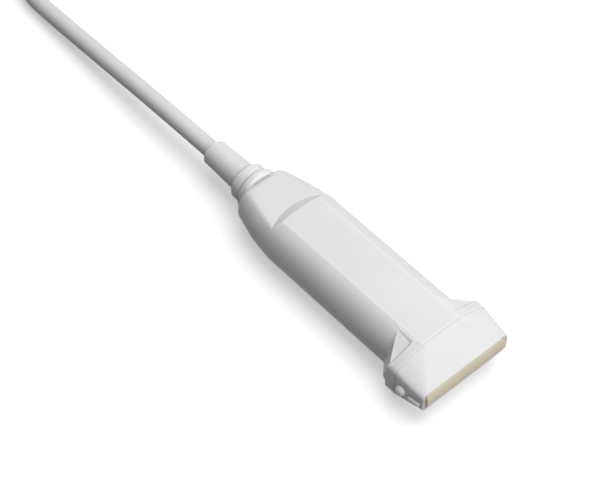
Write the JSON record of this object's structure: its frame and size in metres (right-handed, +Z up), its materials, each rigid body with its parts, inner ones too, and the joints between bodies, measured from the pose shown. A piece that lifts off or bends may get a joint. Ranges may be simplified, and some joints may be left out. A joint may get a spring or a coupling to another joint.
{
  "type": "ultrasound transducer probe",
  "caption": "Hand-held linear ultrasound probe: wide lens nose, straight ridged grip, ringed bend relief and a cable that ends in a multi-pin plug.",
  "frame": {"origin": "under the middle of the grip, on the flat underside that the probe lies on", "axes": "+Z up, +Y from the lens towards the cable, side marker on the -X side"},
  "size_m": [0.066, 0.569, 0.0432],
  "materials": {
    "case": "white satin moulding",
    "seal": "grey silicone",
    "lens": "tan silicone, satin",
    "matching": "filled resin",
    "ceramic": "fired ceramic",
    "backing": "loaded resin",
    "carrier": "black moulding",
    "flex": "amber film",
    "board": "green solder mask",
    "leads": "bundle of fine leads",
    "steel": "plain steel",
    "brass": "plain brass",
    "relief": "white elastomer, satin",
    "cable": "light grey jacket, satin",
    "tie": "grey woven strap"
  },
  "bodies": {
    "root": {"upper_case": "case", "lower_case": "case", "nosepiece": "case", "marker_pip": "case", "nose_seal": "seal", "acoustic_lens": "lens", "outer_matching_layer": "matching", "inner_matching_layer": "matching", "piezo_array": "ceramic", "backing_block": "backing", "array_carrier": "carrier", "upper_flex_circuit": "flex", "lower_flex_circuit": "flex", "interface_board": "board", "board_connectors": "carrier", "shield_can": "steel", "board_screws": "steel", "clamp_screws": "steel", "coax_fan": "leads", "cable_ferrule": "brass", "cable_clamp": "steel", "bend_relief": "relief", "cable": "cable", "cable_hank": "cable", "cable_tail": "cable", "hank_ties": "tie", "plug_upper_shell": "case", "plug_lower_shell": "case", "plug_shroud": "steel", "plug_pin_block": "carrier", "plug_pins": "brass", "plug_bend_relief": "relief"}
  },
  "joints": []
}
